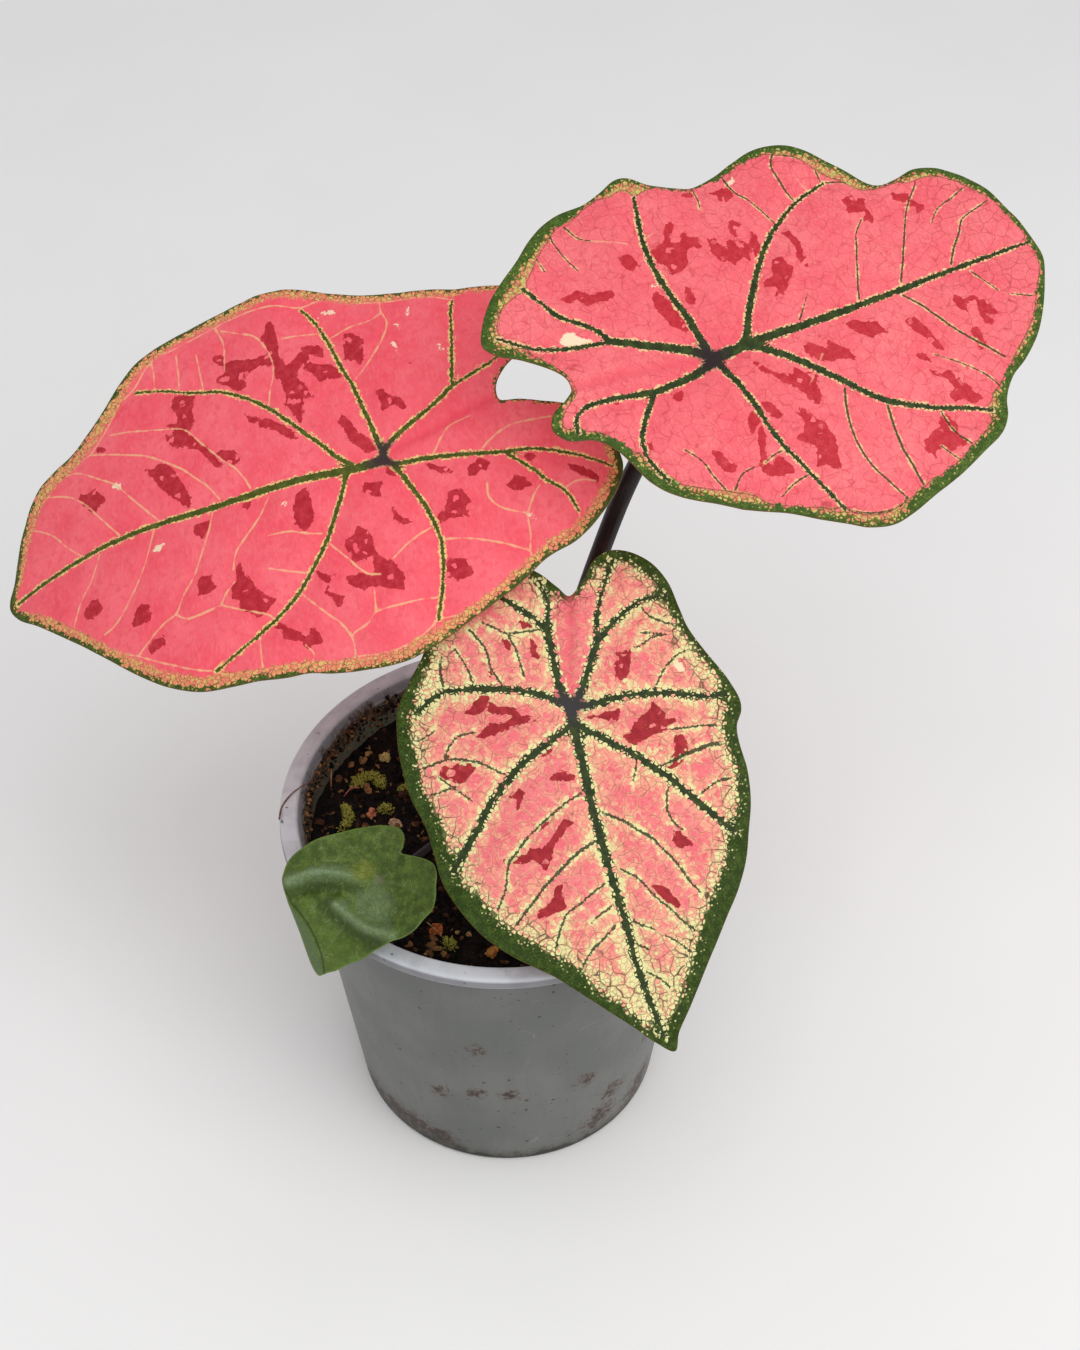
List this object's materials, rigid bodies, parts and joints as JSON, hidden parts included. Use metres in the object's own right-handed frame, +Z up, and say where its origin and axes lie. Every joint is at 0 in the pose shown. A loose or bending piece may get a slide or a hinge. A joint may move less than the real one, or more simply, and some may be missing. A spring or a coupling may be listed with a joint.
{
  "type": "potted caladium",
  "caption": "Caladium with heart-shaped pink leaves on dark arching stalks, growing from a tuber in a tapered nursery pot of potting mix.",
  "frame": {"origin": "centre of the pot's flat base, where it rests", "axes": "+Z up the pot's axis, -Y towards the side the plant is seen from, +X to the right from there"},
  "size_m": [0.2874, 0.1751, 0.2743],
  "materials": {
    "pot_plastic": "satin",
    "potting_mix": "matte",
    "tuber_skin": "matte",
    "stalk_skin": "satin",
    "blade_left": "satin",
    "blade_right": "satin",
    "blade_front": "satin",
    "blade_small": "satin",
    "moss": "matte",
    "pumice": "matte"
  },
  "bodies": {
    "root": {"pot": "pot_plastic", "soil": "potting_mix", "tuber": "tuber_skin", "stalk_left": "stalk_skin", "stalk_right": "stalk_skin", "stalk_front": "stalk_skin", "stalk_small": "stalk_skin", "blade_left": "blade_left", "blade_right": "blade_right", "blade_front": "blade_front", "blade_small": "blade_small", "moss_arch": "moss", "moss_bow": "moss", "moss_tuft_1": "moss", "moss_tuft_2": "moss", "moss_tuft_3": "moss", "pumice_chip_1": "pumice", "pumice_chip_2": "pumice", "pumice_chip_3": "pumice", "pumice_chip_4": "pumice", "pumice_chip_5": "pumice"}
  },
  "joints": []
}
